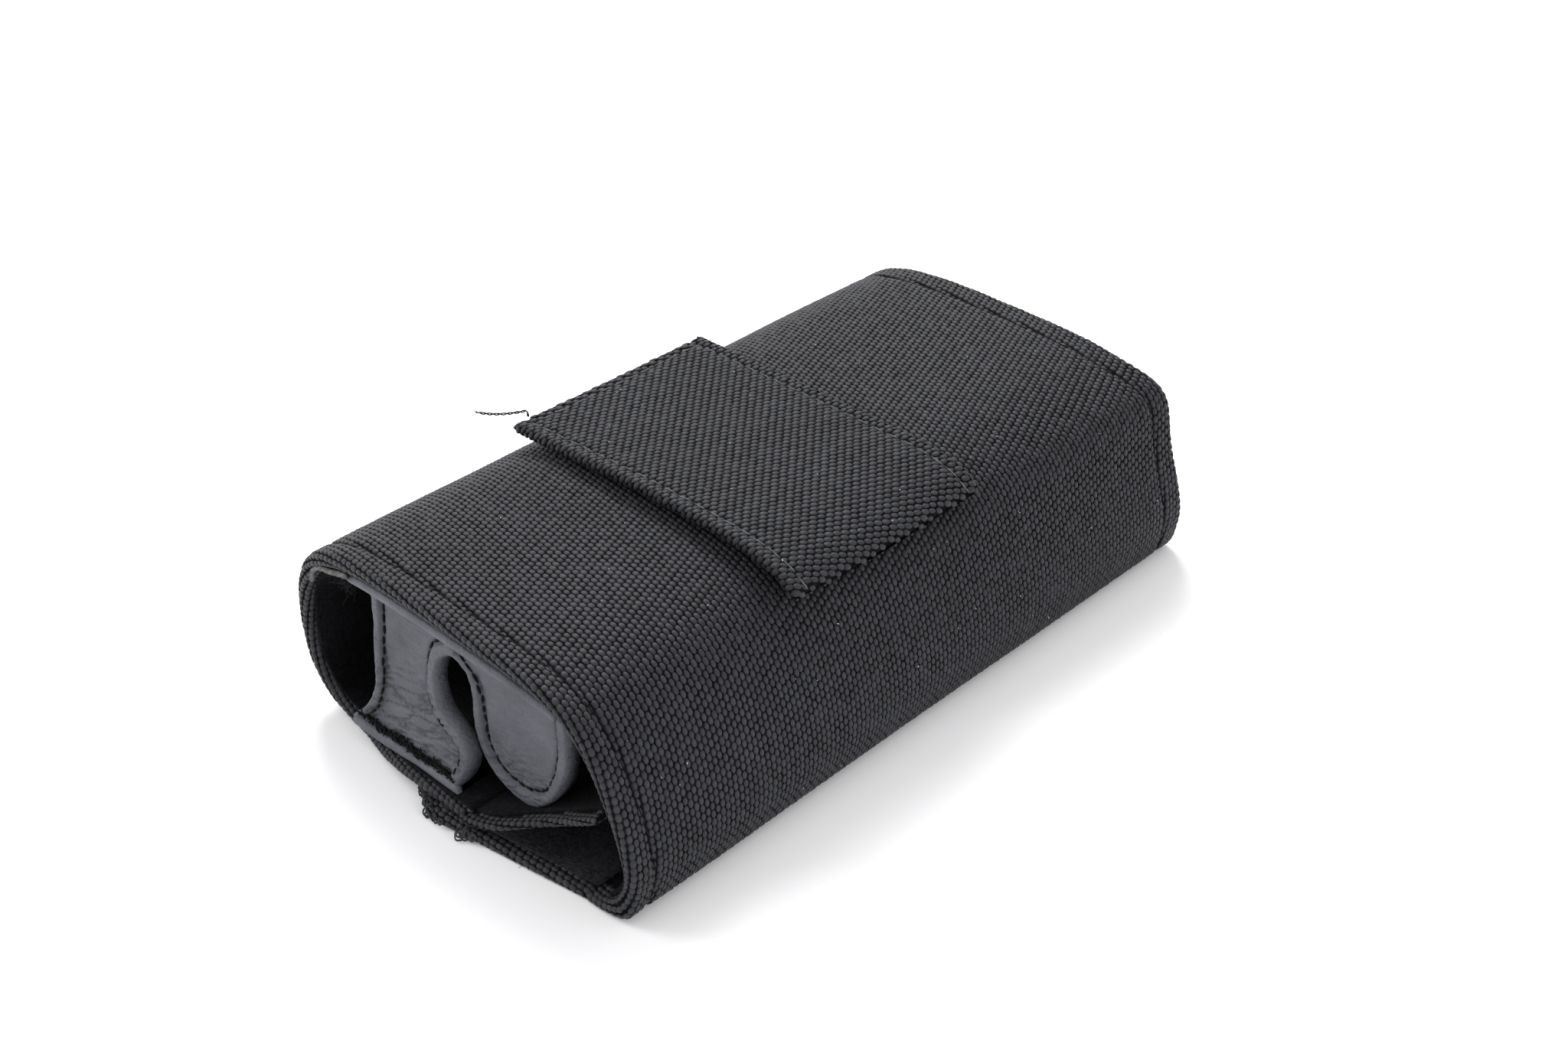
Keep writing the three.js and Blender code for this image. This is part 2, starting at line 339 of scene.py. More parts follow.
def leatherMaterial(name="greyLeather", lift=1.0, creases=0.9, paintedDepthShade=None):
    # the last argument gives two depths into the tube between which the leather darkens, as painted shade where little
    # light reaches inside
    material, tree, shader = newMaterial(name)
    place = objectPlace(tree)
    stretch = put(tree, "ShaderNodeMapping", {"Scale": (0.22, 1.0, 1.6), "Vector": place}).outputs["Vector"]
    crease = noiseNode(tree, stretch, leatherLook["crease"], 5.0, 0.6)
    colour = rampNode(tree, noiseNode(tree, place, 120.0, 3.0), tones(leatherLook, lift, 0.3, 0.68))
    # painted shade: the colour darkens in the creases and along the seam grooves
    colour = scaledBy(tree, colour, mapNode(tree, attribute(tree, "paintedCreaseShade"), (0.0, 1.0, 1.0, 0.42)))
    if paintedDepthShade:
        colour = scaledBy(tree, colour, mapNode(tree, parts(tree, place)["Y"], (*paintedDepthShade, 1.0, 0.04),
                                                interpolation_type="SMOOTHSTEP"))
    grain = bumpNode(tree, cellNode(tree, place, leatherLook["grain"]), 0.6, 0.00012)
    fill(tree, shader, {"Base Color": colour, "Normal": bumpNode(tree, crease, creases, 0.0005, grain),
                        "Roughness": rampNode(tree, crease, greys((0.3, 0.5), (0.7, 0.66))),
                        "Specular IOR Level": 0.35})
    return material


def threadMaterial(name="blackThread", tone=(0.006, 0.006, 0.007), rough=0.55):
    material, tree, shader = newMaterial(name)
    twist = noiseNode(tree, objectPlace(tree), 2600.0, 2.0)
    colour = rampNode(tree, twist, [(at, tuple(lift * part for part in tone)) for at, lift in ((0.3, 0.5), (0.7, 1.5))])
    fill(tree, shader, {"Base Color": colour, "Normal": bumpNode(tree, twist, 0.6, 0.00008), "Roughness": rough,
                        "Specular IOR Level": 0.06})
    return material


yarn = nylonFloatMaterial()
# a darker copy of the yarn: painted shade for the inner end, deep in the mouth
paintedShadeYarn = nylonFloatMaterial("paintedShadeYarn", 0.6)
ground = nylonGroundMaterial()
velvet = velvetMaterial()
paleVelvet = velvetMaterial("napVelvet", 5.0)
leather = leatherMaterial()
# the pale cut edge of the leather bars, which darkens deeper into the tube as painted shade
paleLeatherPaintedShade = leatherMaterial("cutLeather", 1.1, 0.3, tuple((depth + alongShift) * mm for depth in (1.5, 6.0)))
blackThread = threadMaterial()
greyThread = threadMaterial("greyThread", (0.105, 0.107, 0.113), 0.8)
dimThread = threadMaterial("dimThread", (0.03, 0.03, 0.032), 0.8)
print("materials made")


# mesh helpers


def meshObject(name, points, faces, material, closed=True):
    points = np.asarray(points, float)
    if closed:
        # the faces of a closed piece are turned so that they look outwards
        fans = np.array([(face[0], face[k], face[k + 1]) for face in faces for k in range(1, len(face) - 1)])
        a, b, c = (points[fans[:, k]] - points.mean(axis=0) for k in range(3))
        if np.einsum("ij,ij->i", a, np.cross(b, c)).sum() < 0:
            faces = [tuple(reversed(face)) for face in faces]
    mesh = bpy.data.meshes.new(name)
    mesh.from_pydata([tuple(point) for point in points], [], faces)
    mesh.materials.append(material)
    mesh.polygons.foreach_set("use_smooth", [True] * len(mesh.polygons))
    mesh.update()
    piece = addObject(name, mesh)
    return piece


def gridFaces(rows, columns, closeColumns=False):
    last = columns if closeColumns else columns - 1
    return [(row * columns + column, row * columns + (column + 1) % columns,
             (row + 1) * columns + (column + 1) % columns, (row + 1) * columns + column)
            for row in range(rows - 1) for column in range(last)]


# the weave: one raised float of yarn at each place of a skewed lattice


def newTree(name, sockets):
    tree = bpy.data.node_groups.new(name, "GeometryNodeTree")
    tree.interface.new_socket("Geometry", in_out="INPUT", socket_type="NodeSocketGeometry")
    for kind, labels in sockets.items():
        for label in labels:
            tree.interface.new_socket(label, in_out="INPUT", socket_type="NodeSocket" + kind)
    tree.interface.new_socket("Geometry", in_out="OUTPUT", socket_type="NodeSocketGeometry")
    return tree, tree.nodes.new("NodeGroupInput").outputs, tree.nodes.new("NodeGroupOutput")


def runTree(piece, tree, values):
    modifier = piece.modifiers.new(tree.name, "NODES")
    modifier.node_group = tree
    for item in tree.interface.items_tree:
        if item.item_type == "SOCKET" and item.in_out == "INPUT" and item.name in values:
            modifier[item.identifier] = values[item.name]


def kept(tree, label):
    return put(tree, "GeometryNodeInputNamedAttribute", {"Name": label}, data_type="FLOAT_VECTOR").outputs[0]


def store(tree, geometryIn, label, value, kind="FLOAT_VECTOR"):
    node = put(tree, "GeometryNodeStoreNamedAttribute", {"Geometry": geometryIn, "Name": label}, data_type=kind)
    tree.links.new(value, [socket for socket in node.inputs if socket.name == "Value" and socket.enabled][0])
    return node.outputs[0]


def randomValue(tree, kind, inputs):
    return put(tree, "FunctionNodeRandomValue", inputs, data_type=kind).outputs[0 if kind == "FLOAT_VECTOR" else 1]


def copyOnto(tree, given, result, points, shape, turn, size):
    # copies of the shape on the points, made real and given the material
    copies = put(tree, "GeometryNodeInstanceOnPoints", {"Points": points, "Instance": shape, "Rotation": turn,
                                                        "Scale": size})
    solid = put(tree, "GeometryNodeRealizeInstances", {0: copies.outputs[0]})
    smooth = put(tree, "GeometryNodeSetShadeSmooth", {"Geometry": solid.outputs[0]})
    finish = put(tree, "GeometryNodeSetMaterial", {"Geometry": smooth.outputs[0], "Material": given["Material"]})
    tree.links.new(finish.outputs[0], result.inputs[0])


def weaveTree():
    tree, given, result = newTree("weaveFloats", {
        "Int": ("Columns", "Rows", "Seed"), "Vector": ("Yarn Step", "Row Step", "Start", "Float Size"),
        "Float": ("From", "To", "Sink"), "Material": ("Material",)})

    def vector(operation, first, second):
        return put(tree, "ShaderNodeVectorMath", {0: first, 1: second}, operation=operation).outputs[0]

    def below(first, second, operation="LESS_THAN"):
        return put(tree, "FunctionNodeCompare", {0: first, 1: second}, data_type="FLOAT",
                   operation=operation).outputs[0]

    def logic(operation, *values):
        return put(tree, "FunctionNodeBooleanMath", dict(enumerate(values)), operation=operation).outputs[0]

    def dropped(geometryIn, selection):
        return put(tree, "GeometryNodeDeleteGeometry", {"Geometry": geometryIn, "Selection": selection},
                   domain="POINT").outputs[0]

    # the lattice on the flat map
    index = put(tree, "GeometryNodeInputIndex").outputs[0]
    row = number(tree, "FLOOR", number(tree, "DIVIDE", number(tree, "ADD", index, 0.5), given["Columns"]))
    column = number(tree, "SUBTRACT", index, number(tree, "MULTIPLY", row, given["Columns"]))
    stray = randomValue(tree, "FLOAT_VECTOR", {0: (-0.0003, -0.0002, 0), 1: (0.0003, 0.0002, 0), "Seed": given["Seed"]})
    spot = vector("ADD", scaledBy(tree, given["Yarn Step"], column), scaledBy(tree, given["Row Step"], row))
    spot = vector("ADD", vector("ADD", spot, given["Start"]), stray)
    # where it lies on the cloth, kept on the points before they move
    flat = kept(tree, "clothFlat")
    position = put(tree, "GeometryNodeInputPosition").outputs[0]
    facing = put(tree, "GeometryNodeInputNormal").outputs[0]

    def sampled(value, at):
        return put(tree, "GeometryNodeSampleUVSurface", {"Mesh": given["Geometry"], "Value": value,
                                                         "Source UV Map": flat, "Sample UV": at},
                   data_type="FLOAT_VECTOR").outputs

    normal = sampled(facing, spot)[0]
    step = scaledBy(tree, given["Yarn Step"], 0.25)
    ahead, behind = (sampled(position, vector(way, spot, step)) for way in ("ADD", "SUBTRACT"))
    lowered = vector("SUBTRACT", sampled(position, spot)[0], scaledBy(tree, normal, given["Sink"]))
    count = number(tree, "MULTIPLY", given["Columns"], given["Rows"])
    points = put(tree, "GeometryNodePoints", {"Count": count}).outputs[0]
    for label, value in (("keepNormal", normal), ("keepAlong", vector("SUBTRACT", ahead[0], behind[0])),
                         ("keepPlace", lowered)):
        points = store(tree, points, label, value)
    outside = logic("NOT", logic("AND", ahead["Is Valid"], behind["Is Valid"]))
    across = parts(tree, spot)["X"]
    outside = logic("OR", outside, below(across, given["From"]))
    outside = logic("OR", outside, below(across, given["To"], "GREATER_EQUAL"))
    moved = put(tree, "GeometryNodeSetPosition", {"Geometry": dropped(points, outside),
                                                  "Position": kept(tree, "keepPlace")})
    points = store(tree, moved.outputs[0], "yarnTone", randomValue(tree, "FLOAT", {"Seed": given["Seed"]}), "FLOAT")
    # the float: the upper half of a low-count sphere
    ball = put(tree, "GeometryNodeMeshUVSphere", {"Segments": 8, "Rings": 4, "Radius": 1.0}).outputs[0]
    ball = dropped(store(tree, ball, "yarnPlace", position), below(parts(tree, position)["Z"], -0.1))
    turn = put(tree, "FunctionNodeAxesToRotation", {0: kept(tree, "keepNormal"), 1: kept(tree, "keepAlong")},
               primary_axis="Z", secondary_axis="X").outputs[0]
    grow = randomValue(tree, "FLOAT", {2: 0.92, 3: 1.08})
    copyOnto(tree, given, result, points, ball, turn, scaledBy(tree, given["Float Size"], grow))
    return tree


weave = {
    "yarnStep": (1.25, 0.14),       # from one float to the next along a yarn, on the flat cloth
    "rowStep": (0.36, 0.96),        # from one yarn to the next
    "floatSize": (0.70, 0.47, 0.22),  # half length, half width, height
    "sink": 0.05,
}
weaveNodes = weaveTree()
flatScale = 1 / 200.0               # the UV maps hold 200 mm in one unit


def asMesh(piece, name, material):
    # the evaluated result as one plain mesh in place of the piece
    depsgraph = bpy.context.evaluated_depsgraph_get()
    mesh = bpy.data.meshes.new_from_object(piece.evaluated_get(depsgraph), preserve_all_data_layers=True,
                                           depsgraph=depsgraph)
    old = piece.data
    bpy.data.objects.remove(piece)
    bpy.data.meshes.remove(old)
    mesh.name = name
    for label in [layer.name for layer in mesh.attributes if layer.name.startswith("keep")]:
        mesh.attributes.remove(mesh.attributes[label])
    mesh.materials.clear()
    mesh.materials.append(material)
    mesh.polygons.foreach_set("material_index", np.zeros(len(mesh.polygons), dtype=np.int32))
    made = addObject(name, mesh)
    return made


def layWeave(skin, name, low, high, yarnStep, rowStep, seed, size=None, material=None):
    # covers the flat rectangle from low to high (mm) with floats
    size = size or weave["floatSize"]
    a, b = np.array(yarnStep, float), np.array(rowStep, float)
    corners = np.array([(u, v) for u in (low[0], high[0]) for v in (low[1], high[1])], float)
    places = np.linalg.solve(np.stack([a, b], axis=1), corners.T).T
    first, last = np.floor(places.min(axis=0)) - 1, np.ceil(places.max(axis=0)) + 1
    start = a * first[0] + b * first[1]
    columns, rows = (last - first + 1).astype(int)
    runTree(skin, weaveNodes, {
        "Columns": int(columns), "Rows": int(rows), "Yarn Step": (*(a * flatScale), 0.0),
        "Row Step": (*(b * flatScale), 0.0), "Start": (*(start * flatScale), 0.0),
        "Float Size": tuple(part * mm for part in size), "From": low[0] * flatScale, "To": high[0] * flatScale,
        "Sink": weave["sink"] * mm, "Seed": seed, "Material": material or yarn})
    made = asMesh(skin, name, material or yarn)
    print(name, len(made.data.vertices), "points")
    return made


# cloth sheets: a padded thickness between two lines, with rounded rims at both ends of the tube


def innerCreep(x, y, z):
    # how far the lower layers have crept out of the mouth
    low = 1 - smoothStep(z, 4, 12)
    side = smoothStep(x, -62, -42) * (1 - smoothStep(x, -29, -8))
    corner = 1.0 * (1 - smoothStep(z, 0.5, 6)) * smoothStep(x, -16, -7)
    return -(3.4 * low * side + corner) * (1 - smoothStep(y, 30, 90))


def settleWrap(x, y, z):
    # the far rim has kept a squarer shoulder than the mouth
    push = 3.2 * smoothStep(y, 50, 122) * np.exp(-((x + 6.4) ** 2 + (z - 26.3) ** 2) / 40)
    return x + 0.72 * push, y + innerCreep(x, y, z), z + 0.69 * push


def settleFlap(x, y, z):
    cut = 0.75 * np.maximum(-35.3 - x, 0) * (1 - smoothStep(y, 6, 50))   # the raw corner at the mouth is cut off
    return x, y - 1 - 5.2 * (tube["foldX"] - x) / tube["flapReach"] + cut, z


def patchRise(x, y):
    towardsNear = np.clip((78 - y) / 40, 0, 1) ** 2
    bow = 0.9 * np.exp(-((x + 34) / 17) ** 2)
    farCorner = 0.95 * smoothStep(y, 50, 78) * smoothStep(x, -26, -6)
    return towardsNear * (0.5 + bow + 1.2 * smoothStep(x, -34, -6)) + farCorner


def settlePatch(x, y, z):
    return x, y, z + patchRise(x, y)


def clothSwell(run, y, size, seed):
    # slow swells of the cloth, out along its normal
    flat = zip(np.ravel(run), np.ravel(y))
    return np.array([noise.noise(Vector((r * 0.04 + seed, v * 0.034, seed * 1.7))) * size for r, v in flat])


def seamSink(y, run, cloth):
    # the groove a seam pulls into the outer face
    sink = np.zeros_like(y)
    for seam in cloth["seams"]:
        sink += cloth["groove"] * np.exp(-((y - seam) / 0.6) ** 2)
    for seam in cloth.get("endSeams", ()):
        inside = smoothStep(y, cloth["seams"][0] - 0.6, cloth["seams"][0]) * (1 - smoothStep(
            y, cloth["seams"][-1], cloth["seams"][-1] + 0.6))
        sink += cloth["groove"] * np.exp(-((run - seam) / 0.6) ** 2) * inside
    return sink


def clothPlace(cloth, index, y, share):
    # share 0 is the outer face and 1 the inner one; index picks the place along the section line
    outer, inner, run = cloth["outer"][index], cloth["inner"][index], cloth["run"][index]
    across = inner - outer
    width = max(float(np.linalg.norm(across)), 1e-6)
    total = cloth["run"][-1]
    endRound = cloth.get("endRound", 0)
    near = min(run, total - run)
    squeeze = math.sqrt(max(1 - (1 - near / endRound) ** 2, 0.0)) if endRound and near < endRound else 1.0
    share = 0.5 + (share - 0.5) * squeeze
    lift = clothSwell(np.full_like(y, run), y, cloth["swell"], cloth["seed"])
    sink = seamSink(y, run, cloth) * (share < 0.4) - lift
    share = share + sink / width
    x = outer[0] + across[0] * share
    z = outer[1] + across[1] * share
    x, y, z = cloth["settle"](x, y, z)
    return np.stack([x, y, z], axis=-1)


def makeCloth(outerLine, innerLine, front, back, seams, settle, swell, seed, **extra):
    return {"outer": outerLine, "inner": innerLine, "run": lineRun(outerLine), "front": front, "back": back,
            "seams": seams, "settle": settle, "swell": swell, "seed": seed, "rim": extra.pop("rim", 1.1),
            "groove": extra.pop("groove", 0.34), **extra}


def clothBody(name, cloth, material, middleStep=2.5):
    front, back, rim = cloth["front"], cloth["back"], cloth["rim"]
    arc = np.linspace(-math.pi / 2, math.pi / 2, 7)
    edge = min(9.0, (back - front) * 0.3)
    stops = np.concatenate([np.arange(front + rim, front + edge, 0.4), np.arange(front + edge, back - edge, middleStep),
                            np.arange(back - edge, back - rim, 0.4)])[1:]
    near = [(front + rim * (1 - math.cos(a)), (1 - math.sin(a)) / 2) for a in arc]
    far = [(back - rim * (1 - math.cos(a)), (1 - math.sin(a)) / 2) for a in arc[::-1]]
    inner = [(y, 1.0) for y in np.linspace(back - rim, front + rim, 24)[1:-1]]
    loop = np.array(near + [(y, 0.0) for y in stops] + far + inner)
    rings = [clothPlace(cloth, index, loop[:, 0].copy(), loop[:, 1]) for index in range(len(cloth["run"]))]
    count, last = len(loop), (len(cloth["run"]) - 1) * len(loop)
    faces = [tuple(reversed(face)) for face in gridFaces(len(rings), count, True)]
    faces.append(tuple(range(count)))
    faces.append(tuple(reversed([last + index for index in range(count)])))
    return meshObject(name, placeAll(np.vstack(rings)), faces, material)


def rimWalk(cloth, run):
    # run 0 is the crest of the near rim, positive over the outer face; gives y and the share through the cloth
    front, back, rim = cloth["front"], cloth["back"], cloth["rim"]
    quarter = math.pi * rim / 2
    full = back - front - 2 * rim + 2 * quarter
    own = np.where(run < full / 2, run, full - run)
    angle = np.clip(own / rim, -math.pi / 2, math.pi / 2)
    inset = rim * (1 - np.cos(angle)) + np.maximum(np.abs(own) - quarter, 0)
    y = np.where(run < full / 2, front + inset, back - inset)
    return y, (1 - np.sin(angle)) / 2, full


def clothSkin(name, cloth, first, last, turnIn):
    # the outer face with both rims, carrying the flat map that the weave is laid on
    full = rimWalk(cloth, np.zeros(1))[2]
    edge = min(8.0, full * 0.3)
    walk = np.concatenate([np.arange(-turnIn, edge, 0.24), np.arange(edge, full - edge, 1.0),
                           np.arange(full - edge, full + turnIn, 0.24)])
    rows, flat = [], []
    for index in range(first, last + 1):
        y, share, _ = rimWalk(cloth, walk)
        rows.append(clothPlace(cloth, index, y, share))
        flat.append(np.stack([np.full_like(walk, cloth["run"][index]), walk], axis=1))
    faces = gridFaces(len(rows), len(walk))
    piece = meshObject(name, placeAll(np.vstack(rows)), faces, ground, False)
    flat = np.vstack(flat) * flatScale
    layer = piece.data.uv_layers.new(name="clothFlat")
    corners = np.empty(len(piece.data.loops), int)
    piece.data.loops.foreach_get("vertex_index", corners)
    layer.data.foreach_set("uv", flat[corners].ravel())
    return piece, full


def weaveOver(name, cloth, fromShare, toShare, turnIn, seed, yarnStep=None, rowStep=None, size=None, material=None):
    run = cloth["run"]
    low, high = fromShare * run[-1], toShare * run[-1]
    first = max(int(np.searchsorted(run, low)) - 2, 0)
    last = min(int(np.searchsorted(run, high)) + 2, len(run) - 1)
    skin, full = clothSkin(name + "Skin", cloth, first, last, turnIn)
    return layWeave(skin, name, (low, -turnIn - 1), (high, full + turnIn + 1), yarnStep or weave["yarnStep"],
                    rowStep or weave["rowStep"], seed, size, material)


# small threads: one bit of thread at each given place


def threadTree():
    tree, given, result = newTree("threadBits", {
        "Float": ("Half Length", "Radius", "Stray Turn", "Size Spread"), "Int": ("Seed",), "Material": ("Material",)})
    dots = put(tree, "GeometryNodeMeshToPoints", {"Mesh": given["Geometry"]}).outputs[0]
    ball = put(tree, "GeometryNodeMeshUVSphere", {"Segments": 6, "Rings": 6, "Radius": 1.0}).outputs[0]
    aim = put(tree, "FunctionNodeAxesToRotation", {0: kept(tree, "threadAlong"), 1: kept(tree, "threadUp")},
              primary_axis="X", secondary_axis="Z").outputs[0]
    stray = randomValue(tree, "FLOAT_VECTOR", {0: number(tree, "MULTIPLY", given["Stray Turn"], -1.0),
                                               1: given["Stray Turn"], "Seed": given["Seed"]})
    twist = put(tree, "FunctionNodeEulerToRotation", {0: stray}).outputs[0]
    turn = put(tree, "FunctionNodeRotateRotation", {0: aim, 1: twist}, rotation_space="LOCAL").outputs[0]
    spread = randomValue(tree, "FLOAT", {2: number(tree, "SUBTRACT", 1.0, given["Size Spread"]),
                                         3: number(tree, "ADD", 1.0, given["Size Spread"])})
    size = put(tree, "ShaderNodeCombineXYZ", {0: number(tree, "MULTIPLY", given["Half Length"], spread),
                                              1: given["Radius"], 2: given["Radius"]}).outputs[0]
    copyOnto(tree, given, result, dots, ball, turn, size)
    return tree


threadNodes = threadTree()


def threadBits(name, places, alongs, ups, halfLength, radius, material, strayTurn=0.1, spread=0.08, seed=1):
    # places in section mm
    mesh = bpy.data.meshes.new(name)
    mesh.from_pydata([tuple(point) for point in placeAll(places)], [], [])
    for label, values in (("threadAlong", alongs), ("threadUp", ups)):
        layer = mesh.attributes.new(label, "FLOAT_VECTOR", "POINT")
        layer.data.foreach_set("vector", np.asarray(values, float).ravel())
    mesh.materials.append(material)
    piece = addObject(name, mesh)
    runTree(piece, threadNodes, {"Half Length": halfLength * mm, "Radius": radius * mm, "Stray Turn": strayTurn,
                                 "Size Spread": spread, "Seed": seed, "Material": material})
    return asMesh(piece, name, material)


def seamOnCloth(name, cloth, walkLine, pitch, halfLength, radius, material, sink=0.05, seed=1):
    # walkLine is a list of (run along the section, run from the near rim crest)
    line = smoothLine(walkLine, pitch) if len(walkLine) > 2 else smoothLine(
        [walkLine[0], tuple((np.array(walkLine[0]) + walkLine[1]) / 2), walkLine[1]], pitch)
    places = [onCloth(cloth, u, v, sink) for u, v in line]
    ahead = [onCloth(cloth, *(line[min(k + 1, len(line) - 1)]), sink)[0] - onCloth(
        cloth, *(line[max(k - 1, 0)]), sink)[0] for k in range(len(line))]
    return threadBits(name, [p[0] for p in places], ahead, [p[1] for p in places], halfLength, radius, material,
                      0.08, 0.08, seed)


def onCloth(cloth, u, v, sink=0.0):
    # a place on the cloth's face and the normal there; v is the run from the near rim's crest
    def at(run, walk):
        index = float(np.clip(np.interp(run, cloth["run"], np.arange(len(cloth["run"]))), 0, len(cloth["run"]) - 1.001))
        low = int(index)
        y, share, _ = rimWalk(cloth, np.array([walk]))
        first = clothPlace(cloth, low, y.copy(), share)[0]
        return first + (clothPlace(cloth, low + 1, y.copy(), share)[0] - first) * (index - low)
    here = at(u, v)
    normal = np.cross(at(u, v + 0.3) - at(u, v - 0.3), at(u + 0.4, v) - at(u - 0.4, v))
    normal /= max(np.linalg.norm(normal), 1e-9)
    return here - normal * sink, normal


makeCamera()
makeLight()
makeFloor()
print("stage set")

# the wound cloth

wrap = {"hem": 1.3, "rim": 1.1, "swell": 0.25, "seed": 3.1, "nearSeam": 3.9, "farSeam": 5.0, "groove": 0.45,
        "stitch": 3.0, "stitchRadius": 0.14}
wrapCloth = makeCloth(outerLine, insetLine(rimLine, wrap["hem"]), 0.0, tube["length"],
                      (wrap["nearSeam"], tube["length"] - wrap["farSeam"]), settleWrap, wrap["swell"], wrap["seed"],
                      rim=wrap["rim"], groove=wrap["groove"])
wrapBody = clothBody("wrapCloth", wrapCloth, ground)
register(wrapBody, "nylon", "pouch", "wrap_shell", "near_hem", "far_hem")
for partName, low, high, seed in (("wrapWeaveRight", 0, 0.335, 11), ("wrapWeaveTop", 0.335, 0.665, 12),
                                  ("wrapWeaveLeft", 0.665, 1, 13)):
    part = weaveOver(partName, wrapCloth, low, high, 4.2, seed)
    register(part, "nylon", "pouch")
wrapTotal = wrapCloth["run"][-1]
wrapFull = rimWalk(wrapCloth, np.zeros(1))[2]
for seamName, at, node in (("nearHemSeam", wrap["nearSeam"] + 0.63, "near_hem_thread"),
                           ("farHemSeam", wrapFull - wrap["farSeam"] - 0.63, "far_hem_thread")):
    seam = seamOnCloth(seamName, wrapCloth, [(1.0, at), (wrapTotal * 0.3, at), (wrapTotal * 0.6, at),
                                             (wrapTotal - 1.0, at)], wrap["stitch"], wrap["stitch"] * 0.44,
                       wrap["stitchRadius"], blackThread, -0.12, 5)
    register(seam, "thread", "pouch", node)
print("wrap done")

# velvet lining of the tube

lining = {"back": 1.5, "face": 2.05, "front": 1.0, "skip": 5}
liningOuter = insetLine(rimLine, lining["back"])[lining["skip"]:]
liningCloth = makeCloth(liningOuter, insetLine(rimLine, lining["face"])[lining["skip"]:], lining["front"],
                        tube["length"] - 0.8, (), settleWrap, 0.12, 7.7, rim=0.27)
liningBody = clothBody("wrapLining", liningCloth, velvet)
register(liningBody, "velvet", "pouch", "wrap_lining")

# inner end: springs up to the right wall

innerEnd = {"thickness": 1.0, "hemBack": 1.7, "swell": 0.3, "seed": 9.4}
innerLine = smoothLine(innerEndKnots, 0.9)
innerCloth = makeCloth(innerLine, insetLine(innerLine, innerEnd["thickness"]), -0.6, tube["length"], (), settleWrap,
                       innerEnd["swell"], innerEnd["seed"], rim=0.5, groove=0.0, endRound=0.6)
hinge = place(tube["innerHingeX"], 0, 1.9)
innerBlend = {"bodies": ("pouch", "inner_end"),
            "start": tuple(hinge - Vector((2.0 * mm, 0, 0))),
            "end": tuple(hinge + Vector((3.0 * mm, 0, 0)))}
innerBody = clothBody("innerEnd", innerCloth, ground)
register(innerBody, "nylon", innerBlend, "inner_end_shell")
innerVelvetCloth = makeCloth(insetLine(innerLine, innerEnd["thickness"] - 0.1),
                             insetLine(innerLine, innerEnd["thickness"] + 0.35), innerEnd["hemBack"],
                             tube["length"] - 0.8, (), settleWrap, innerEnd["swell"], innerEnd["seed"], rim=0.22)
innerVelvet = clothBody("innerEndLining", innerVelvetCloth, velvet)
register(innerVelvet, "velvet", innerBlend, "inner_end_lining")
innerWeave = weaveOver("innerEndWeave", innerCloth, 0.0, 1.0, 2.4, 21, material=paintedShadeYarn)
register(innerWeave, "nylon", innerBlend)
print("inner end done")

# closure flap: lies under everything, creeping out of the mouth towards its free end

flap = {"thickness": 1.5, "hemBack": 1.9, "swell": 0.18, "seed": 5.2, "stitch": 2.6}
flapLine = smoothLine([(-41, 0), (-30, 0), (-20, 0), (-7.2, 0)], 1.0)
flapCloth = makeCloth(flapLine, insetLine(flapLine, flap["thickness"]), 0.0, tube["length"], (), settleFlap,
                      0.0, flap["seed"], rim=0.75, groove=0.0)
fold = place(-8.2, 0, 0)
flapBlend = {"bodies": ("pouch", "closure_flap"),
            "start": tuple(fold + Vector((1.0 * mm, 0, 0))),
            "end": tuple(fold - Vector((2.0 * mm, 0, 0)))}
flapBody = clothBody("closureFlap", flapCloth, ground)
register(flapBody, "nylon", flapBlend, "flap_shell")
flapVelvetCloth = makeCloth(insetLine(flapLine, flap["thickness"] - 0.1), insetLine(flapLine, flap["thickness"] + 0.3),
                            flap["hemBack"], tube["length"] - 1.6, (), settleFlap, flap["swell"], flap["seed"],
                            rim=0.2)
flapVelvet = clothBody("flapLining", flapVelvetCloth, paleVelvet)
register(flapVelvet, "velvet", flapBlend, "flap_lining")
flapWeave = weaveOver("flapWeave", flapCloth, 0.0, 1.0, 3.4, 31)
register(flapWeave, "nylon", flapBlend)
flapSeamLine = smoothLine([(-39.5, 3.0), (-30, 3.1), (-20, 3.0), (-10.5, 3.2)], flap["stitch"])
flapSeamPlaces = [settleFlap(x, y, flap["thickness"] + 0.38) for x, y in flapSeamLine]
flapSeam = threadBits("flapSeam", flapSeamPlaces, [(1, 0.16, 0)] * len(flapSeamPlaces), [(0, 0, 1)] * len(flapSeamPlaces),
                      flap["stitch"] * 0.36, 0.10, dimThread, 0.12, 0.15, 3)
register(flapSeam, "thread", flapBlend)
print("flap done")

# the patch on the top

patch = {"near": 38.0, "far": 78.0, "thickness": 1.7, "seamIn": 2.4, "groove": 0.3, "swell": 0.16, "seed": 13.3,
         "yarnStep": (-0.50, 1.24), "rowStep": (0.70, 0.80), "floatSize": (0.74, 0.49, 0.24), "stitch": 3.0,
         "stitchRadius": 0.14}
patchLine = smoothLine(patchKnots, 0.7)
patchTop = insetLine(patchLine, -patch["thickness"])
patchWide = lineRun(patchTop)[-1]
patchCloth = makeCloth(patchTop, patchLine, patch["near"], patch["far"],
                       (patch["near"] + patch["seamIn"], patch["far"] - patch["seamIn"]), settlePatch, patch["swell"],
                       patch["seed"], rim=0.85, groove=patch["groove"], endRound=0.9,
                       endSeams=(patchWide - patch["seamIn"],))
patchBody = clothBody("patchCloth", patchCloth, ground, 1.2)
register(patchBody, "nylon", "patch", "patch_bottom_ply", "patch_top_ply")
